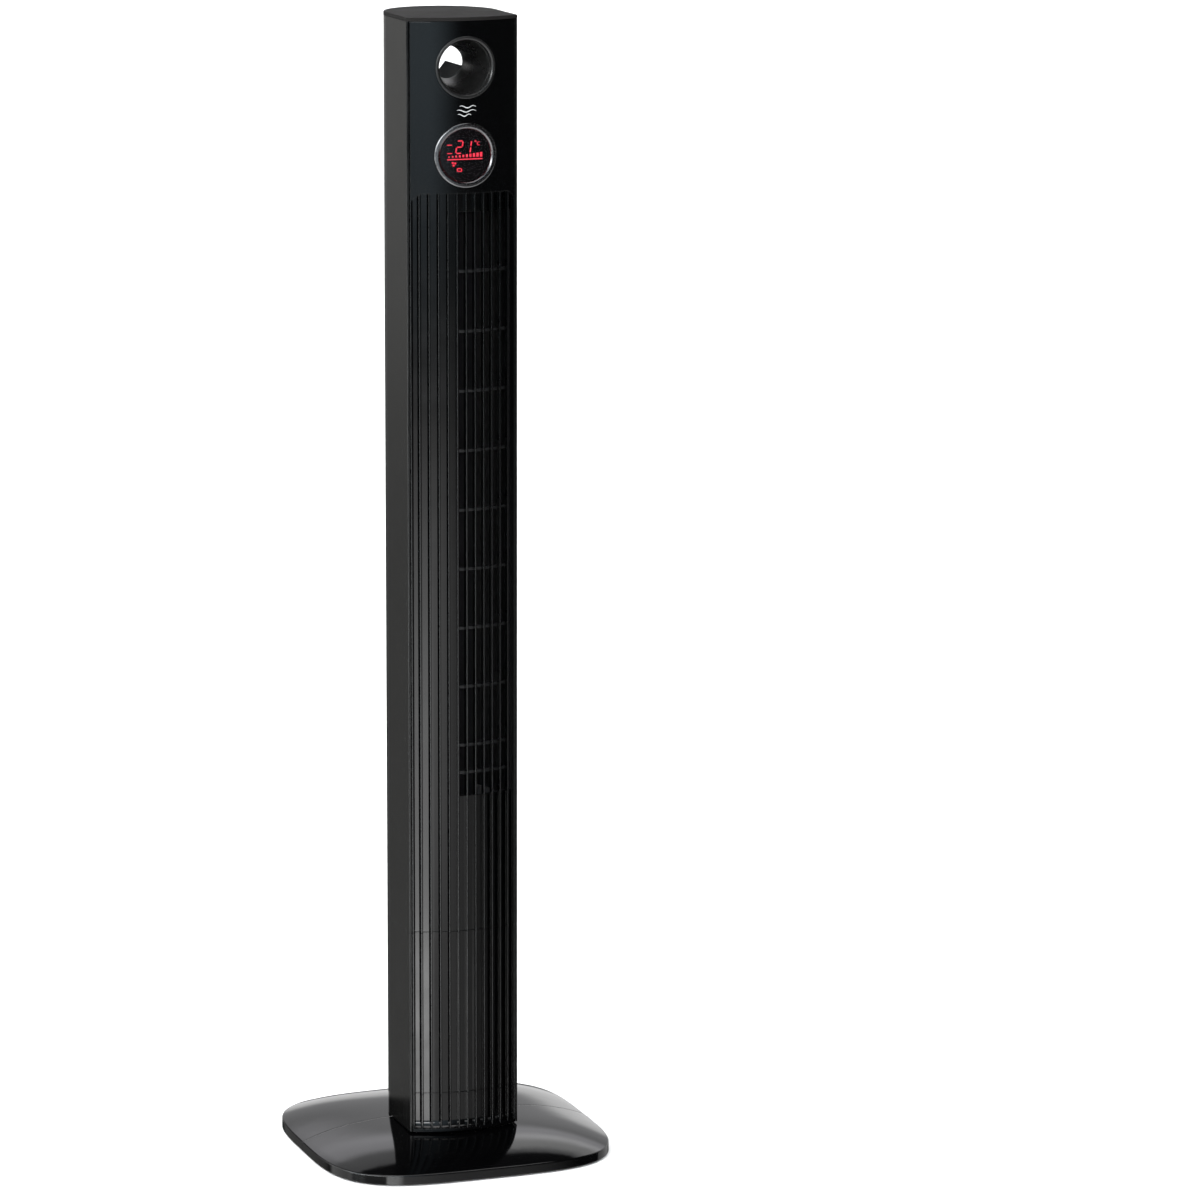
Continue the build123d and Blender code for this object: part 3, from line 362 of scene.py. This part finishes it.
SATIN_BLACK = (0.0018, 0.0018, 0.0017)
SATIN_GRAIN = 0.8e-5          # depth of the casing's fine grain
# painted light: pale grey painted on the inside of the back cover, where it faces the front
COVER_INSIDE_PAINTED_LIGHT = (0.13, 0.13, 0.13)
SLOT_MATERIALS = {
    "base_gloss": gloss_plastic("base_gloss", (0.0005, 0.0005, 0.0006), 0.045, BASE_EDGE_RADIUS),
    "front_gloss": gloss_plastic("front_gloss", (0.0005, 0.0006, 0.0007), 0.07),
    "side_satin": grained_plastic("side_satin", SATIN_BLACK, 0.15, depth=SATIN_GRAIN),
    "cap_matte": grained_plastic("cap_matte", (0.0075, 0.007, 0.0068), 0.65, dust=0.02, shine=0.1),
    "guard_black": grained_plastic("guard_black", (0.006, 0.006, 0.0065), 0.50, mottle=0.4),
    "impeller_black": grained_plastic("impeller_black", (0.012, 0.012, 0.013), 0.38, dust=0.12),
    "funnel_satin": grained_plastic("funnel_satin", (0.006, 0.006, 0.006), 0.27, depth=2e-5),
    "ring_metal": brushed_metal("ring_metal", (0.17, 0.17, 0.175), 0.20, stretch=(1, 0.05, 1)),
    "smoked_lens": smoked_lens("smoked_lens"),
    "lit_red": lit_red("lit_red"),
    "board_green": circuit_board("board_green"),
    "component_black": grained_plastic("component_black", (0.018, 0.018, 0.019), 0.42),
    "component_cream": grained_plastic("component_cream", (0.58, 0.54, 0.42), 0.40, mottle=0.1),
    "gear_white": acetal("gear_white"),
    "structure_grey": grained_plastic("structure_grey", (0.075, 0.076, 0.078), 0.48),
    "rubber_foot": rubber("rubber_foot", (0.020, 0.020, 0.021)),
    "zinc_steel": pressed_sheet("zinc_steel"),
    "ground_steel": brushed_metal("ground_steel", (0.62, 0.62, 0.62), 0.20),
    "black_screw": brushed_metal("black_screw", (0.045, 0.045, 0.048), 0.34, (1, 1, 1), 700),
    "motor_shield": pressed_sheet("motor_shield"),
    "motor_core": laminations("motor_core"),
    "bronze": sintered_bronze("bronze"),
    "wire_sleeve": braided_sleeve("wire_sleeve"),
}
NODE_MATERIALS = {     # nodes whose look differs from the rest of their slot
    # the back cover is satin black, with painted light on its front-facing inside
    "head_back_cover": grained_plastic(
        "cover_satin_painted_light", SATIN_BLACK, 0.15, depth=SATIN_GRAIN, front_painted_light=COVER_INSIDE_PAINTED_LIGHT
    ),
    "lower_front_panel": lower_gloss("front_gloss_lower"),
    "front_skirt": lower_gloss("front_gloss_skirt"),
    "display_module": grained_plastic(
        "display_black", (0.002, 0.002, 0.002), 0.60, dust=0.0, shine=0.0
    ),
}


def paint(piece, material):
    """Give a piece one material."""
    piece.data.materials.clear()
    piece.data.materials.append(material)


def slots_of_nodes():
    """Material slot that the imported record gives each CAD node."""
    return {part["node"]: part["material_slot"] for part in frame["record"]["subparts"]}


# ------------------------------------------------------------------ stage, light and camera
# Softboxes of the surroundings, as polished parts mirror them. All angles are in degrees. Azimuth 0
# is in front of the fan and azimuth 90 is towards +X, and elevations are from the horizon. Each
# box has its azimuth range, its elevation range, the widths of its soft left, right, bottom and top
# edges, and its colour. Boxes add up where they overlap.
SOFTBOXES = (
    # in front: a bluish panel, then the floor before the fan, brighter to the left
    ((-33.5, 0), (-7.5, 60), (1.5, 34, 4, 8), (0.56, 0.70, 0.79)),
    ((-33.5, 20), (-60, -9.2), (1.5, 70, 4, 4), (0.80, 0.80, 0.80)),
    ((-33.5, 0), (-14, -9.8), (1.5, 20, 2, 2), (0.70, 0.70, 0.70)),
    ((-33.5, -14), (-60, -11.6), (1.5, 5, 4, 3), (1.60, 1.62, 1.62)),
    ((-33.5, -17.6), (-16.7, -14.6), (1.5, 1, 0.2, 0.6), (3.80, 3.83, 3.83)),
    # left: thin glints on the fins, rim of the base, main window, its wide glow
    ((-100, -70), (-16.0, -7), (4, 4, 0.6, 1), (6.0, 6.4, 6.5)),
    ((-105, -33.5), (-19.5, -16.8), (10, 4, 3, 0.6), (0.34, 0.34, 0.34)),
    ((-80, -14), (9, 24), (6, 3, 3, 6), (9.0, 9.0, 9.0)),
    ((-112, -42), (-1, 42), (10, 6, 4, 10), (2.2, 2.4, 2.5)),
    ((-150, -95), (-1, 45), (14, 14, 4, 10), (0.90, 0.90, 0.90)),
    # behind on the left, mirrored by the tower's left side
    ((184, 216), (-60, 6), (10, 10, 5, 4), (0.13, 0.13, 0.125)),
    ((184, 216), (-8.2, 6), (10, 10, 5, 4), (0.20, 0.20, 0.195)),
    # behind on the right, mirrored by the top of the base and the tower's right side
    ((95, 140), (-60, 2), (5, 30, 5, 5), (0.50, 0.50, 0.50)),
    ((100, 182), (-7, 46.5), (30, 8, 8, 2.5), (0.56, 0.56, 0.57)),
    ((100, 182), (-5, 8.5), (30, 8, 6, 6), (0.62, 0.62, 0.61)),
    ((100, 182), (23, 34), (30, 8, 6, 6), (0.64, 0.63, 0.67)),
    ((100, 160), (29, 43), (30, 10, 6, 6), (0.80, 0.80, 0.79)),
    # fill for the back, floor round the fan, ceiling
    ((222, 262), (-19, 30), (8, 8, 4, 8), (0.80, 0.80, 0.80)),
    ((-200, 200), (-95, -19.5), (1, 1, 1, 3), (0.90, 0.90, 0.90)),
    ((-200, 200), (66, 95), (1, 1, 5, 1), (2.20, 2.20, 2.20)),
)
DARK_ROOM = (0.03, 0.03, 0.032)     # what shows between the boxes


def studio_world():
    """Dark room with large softboxes round the fan."""
    world = bpy.data.worlds.new("studio")
    bpy.context.scene.world = world
    world.use_nodes = True
    tree = world.node_tree
    tree.nodes.clear()

    def add(kind, **values):
        """A node with the given properties."""
        node = tree.nodes.new(kind)
        for key, value in values.items():
            setattr(node, key, value)
        return node

    def number(operation, *values):
        """One Math node on outputs or numbers."""
        node = add("ShaderNodeMath", operation=operation)
        for socket, value in zip(node.inputs, values):
            if isinstance(value, bpy.types.NodeSocket):
                tree.links.new(value, socket)
            else:
                socket.default_value = value
        return node.outputs[0]

    def inside(angle, low, high, low_edge, high_edge):
        """1 where the angle is in the range, falling softly to 0 over the two edges."""
        steps = []
        for limit, half in ((low, low_edge / 2), (high, -high_edge / 2)):
            step = add("ShaderNodeMapRange", interpolation_type="SMOOTHSTEP")
            tree.links.new(angle, step.inputs["Value"])
            step.inputs["From Min"].default_value = limit - half
            step.inputs["From Max"].default_value = limit + half
            steps.append(step.outputs["Result"])
        return number("MULTIPLY", *steps)

    split = add("ShaderNodeSeparateXYZ")     # of the direction that is looked in
    tree.links.new(add("ShaderNodeTexCoord").outputs["Generated"], split.inputs[0])
    x, y, z = split.outputs
    elevation = number("DEGREES", number("ARCSINE", z))
    compass = number("DEGREES", number("ARCTAN2", x, number("MULTIPLY", y, -1.0)))
    room = add("ShaderNodeRGB")
    room.outputs[0].default_value = (*DARK_ROOM, 1)
    light = room.outputs[0]
    for azimuths, elevations, edges, colour in SOFTBOXES:
        turns = [compass]     # the compass runs from -180 to 180, so a box behind needs both turns
        if azimuths[1] > 180 - edges[1]:
            turns.append(number("ADD", compass, 360.0))
        parts = [inside(turn, *azimuths, *edges[:2]) for turn in turns]
        across = parts[0] if len(parts) == 1 else number("MAXIMUM", *parts)
        mask = number("MULTIPLY", across, inside(elevation, *elevations, *edges[2:]))
        box = add("ShaderNodeMix", data_type="RGBA", blend_type="ADD")
        tree.links.new(mask, box.inputs["Factor"])
        tree.links.new(light, box.inputs["A"])
        box.inputs["B"].default_value = (*colour, 1)
        light = box.outputs["Result"]
    background = add("ShaderNodeBackground")
    tree.links.new(light, background.inputs["Color"])
    tree.links.new(background.outputs[0], add("ShaderNodeOutputWorld").inputs["Surface"])


def daylight(name, direction, strength, spread):
    """Very soft light from one direction, which polished parts don't mirror."""
    data = bpy.data.lights.new(name, "SUN")
    data.energy = strength
    data.angle = math.radians(spread)
    lamp = bpy.data.objects.new(name, data)
    lamp.rotation_euler = Vector(direction).to_track_quat("-Z", "Y").to_euler()
    lamp.visible_glossy = False
    bpy.context.scene.collection.objects.link(lamp)


def floor():
    """Pale floor. Polished parts reflect the surroundings instead of it."""
    mesh = bpy.data.meshes.new("floor")
    side, gap = 30.0, 0.0002
    corners = [(-side, -side, 0), (side, -side, 0), (side, side, 0), (-side, side, 0)]
    mesh.from_pydata(corners, [], [(0, 1, 2, 3)])
    plane = bpy.data.objects.new("floor", mesh)
    plane.location.z = cad_box[0][2] - gap
    bpy.context.scene.collection.objects.link(plane)
    pale, cloud = (0.86, 0.86, 0.86), (0.84, 0.84, 0.845)
    s = Shader("floor_paint", pale, 0.7)
    s.tint(s.remap(s.noise(3, 4.0), 0.4, 0.7, 0, 0.4), cloud)
    paint(plane, s.material)
    plane.visible_glossy = False
    plane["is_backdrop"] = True


def camera():
    """Camera left of the front and well above, with a long lens."""
    azimuth, distance, height = math.radians(-18.42), 5.587, 1.679
    down, right, roll = math.radians(11.18), math.radians(1.658), math.radians(0.17)
    sensor, focal = 36.0, 166.05
    ahead = Vector((-math.sin(azimuth), math.cos(azimuth), 0))
    side = Vector((math.cos(azimuth), math.sin(azimuth), 0))
    place = -ahead * distance + Vector((0, 0, height))
    level = ahead * math.cos(right) + side * math.sin(right)
    across = side * math.cos(right) - ahead * math.sin(right)
    view = level * math.cos(down) - Vector((0, 0, math.sin(down)))
    above = across.cross(view)
    x_axis = across * math.cos(roll) + above * math.sin(roll)
    y_axis = above * math.cos(roll) - across * math.sin(roll)
    data = bpy.data.cameras.new("camera")
    data.sensor_width, data.lens = sensor, focal
    data.clip_end = 100
    eye = bpy.data.objects.new("camera", data)
    turn = Matrix((x_axis, y_axis, -view)).transposed().to_4x4()
    eye.matrix_world = Matrix.Translation(place) @ turn
    bpy.context.scene.collection.objects.link(eye)
    bpy.context.scene.camera = eye


# ------------------------------------------------------------------ printed mark
def breeze_mark():
    """Generic mark printed under the hand opening: three waves of moving air."""
    panel = NODES["control_panel"]
    ring_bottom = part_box("handle_trim_ring")[0].z
    bezel_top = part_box("display_bezel")[1].z
    middle = (ring_bottom + bezel_top) / 2
    half_line, print_height, steps = 0.00045, 0.00006, 48
    row_gap, wave_height, waves, first_wave = 0.0042, 0.0011, 1.4, 0.1
    rows_of_mark = ((0.0085, 0.0015), (0.0100, 0.0), (0.0070, -0.0020))     # half length, shift
    mesh = bmesh.new()
    for row, (reach, slide) in enumerate(rows_of_mark):
        z = middle + (1 - row) * row_gap
        rungs = []
        for k in range(steps + 1):
            t = k / steps
            x = slide + reach * (2 * t - 1)
            wave = z + wave_height * math.sin(2 * math.pi * (waves * t + first_wave))
            swell = half_line * (0.35 + 0.65 * math.sin(math.pi * min(1, 0.06 + t * 0.94)))
            heights = (wave - swell, wave + swell)
            rungs.append([surface_point(panel, x, height, print_height) for height in heights])
        rows = [[mesh.verts.new(point) for point in rung] for rung in rungs]
        for (a, b), (c, d) in zip(rows, rows[1:]):
            mesh.faces.new((a, c, d, b))
    data = bpy.data.meshes.new("breeze_mark")
    mesh.to_mesh(data)
    mesh.free()
    mark = bpy.data.objects.new("breeze_mark", data)
    bpy.context.scene.collection.objects.link(mark)
    skin = mark.modifiers.new("thickness", "SOLIDIFY")
    skin.thickness = print_height
    skin.offset = 0
    paint(mark, silver_print("silver_print"))
    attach(mark, "tower")


def surface_point(obj, x, z, proud):
    """Point just in front of an object's front surface at the given X and Z."""
    start = Vector((x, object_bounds()[0][1] - 0.1, z))
    hit, place, _, _ = obj.ray_cast(start, Vector((0, 1, 0)))
    if not hit:
        raise ValueError(f"{obj.name} has no surface in front at {x}, {z}")
    return place - Vector((0, proud, 0))


# ------------------------------------------------------------------ assembly
for name, slot in slots_of_nodes().items():
    paint(NODES[name], NODE_MATERIALS.get(name) or SLOT_MATERIALS[slot])
breeze_mark()
studio_world()
floor()
daylight("ceiling", direction=(0.15, 0.10, -1.0), strength=3.0, spread=120)
daylight("window", direction=(0.75, 0.65, -0.55), strength=1.2, spread=60)
camera()
bpy.context.scene.view_settings.view_transform = "Standard"
